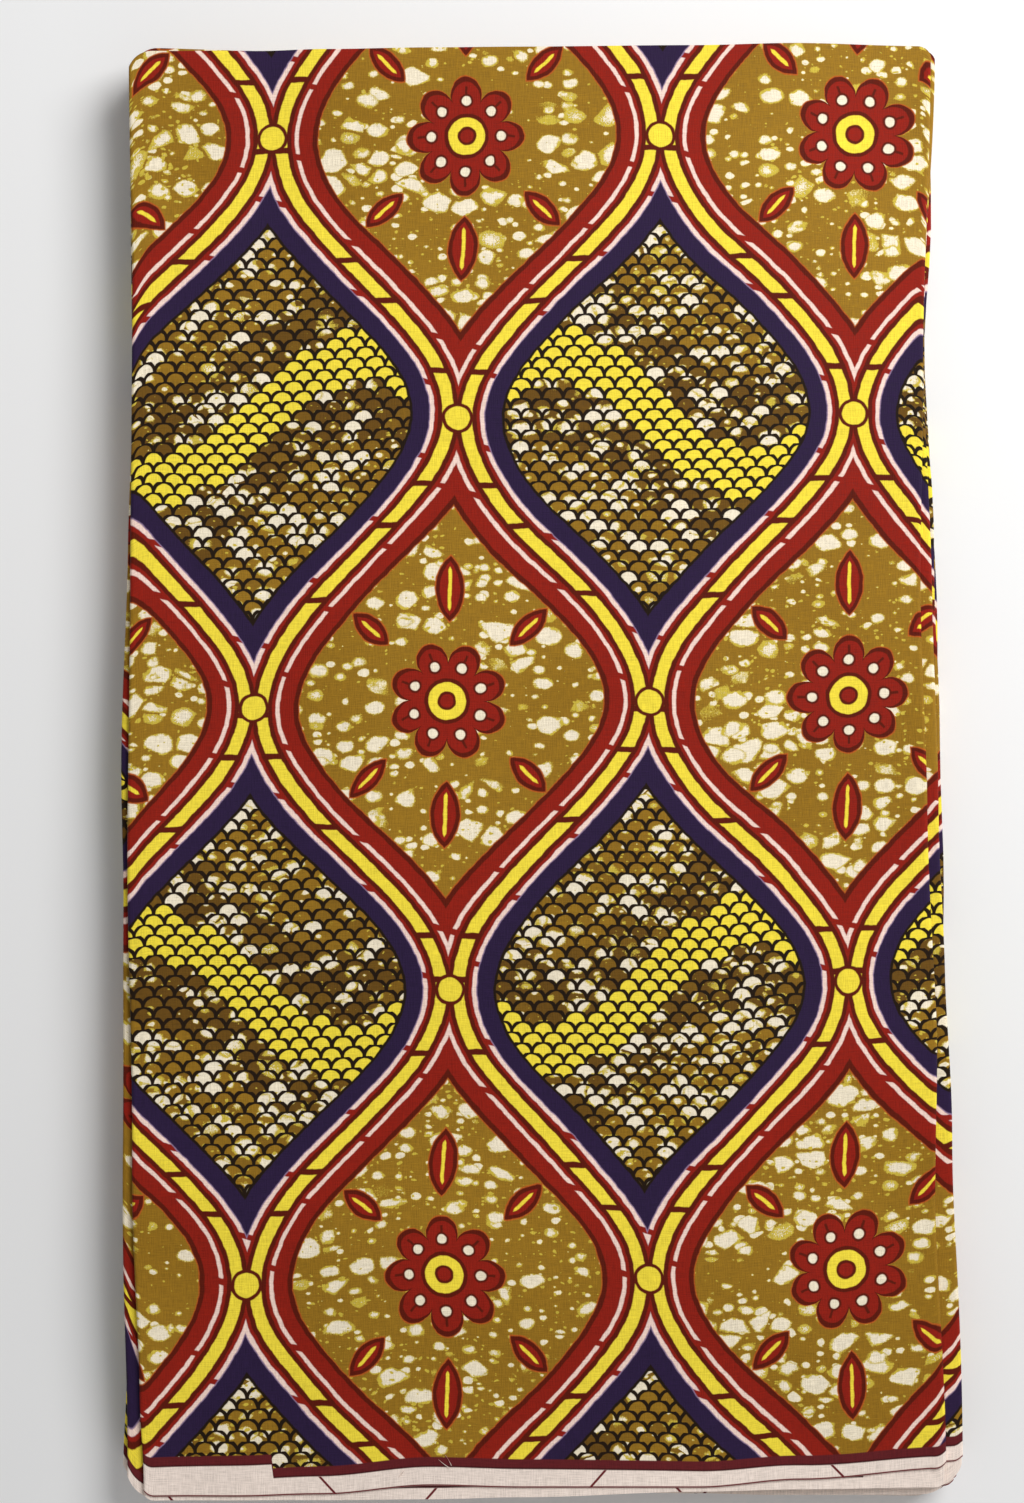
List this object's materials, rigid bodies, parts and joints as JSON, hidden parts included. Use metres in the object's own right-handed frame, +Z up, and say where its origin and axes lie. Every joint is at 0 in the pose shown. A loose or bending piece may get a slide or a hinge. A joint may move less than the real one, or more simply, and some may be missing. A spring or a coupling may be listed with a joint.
{
  "type": "folded ankara fabric",
  "caption": "Length of wax-printed cotton, doubled across its width and fan-folded into a flat rectangular pile, with its creases at one end and its bare selvedges at the other.",
  "frame": {"origin": "middle of the bundle's box, on the flat underside that it rests on", "axes": "+Z up through the pile of laps, +Y towards the creases, away from the selvedges, +X to the right seen from above"},
  "size_m": [0.3368, 0.5864, 0.0269],
  "materials": {
    "printed_cotton": "plain-woven cotton, wax-printed right through, slightly glazed"
  },
  "bodies": {
    "root": {"front_folds": "printed_cotton", "inner_folds": "printed_cotton", "back_lap": "printed_cotton"}
  },
  "joints": []
}
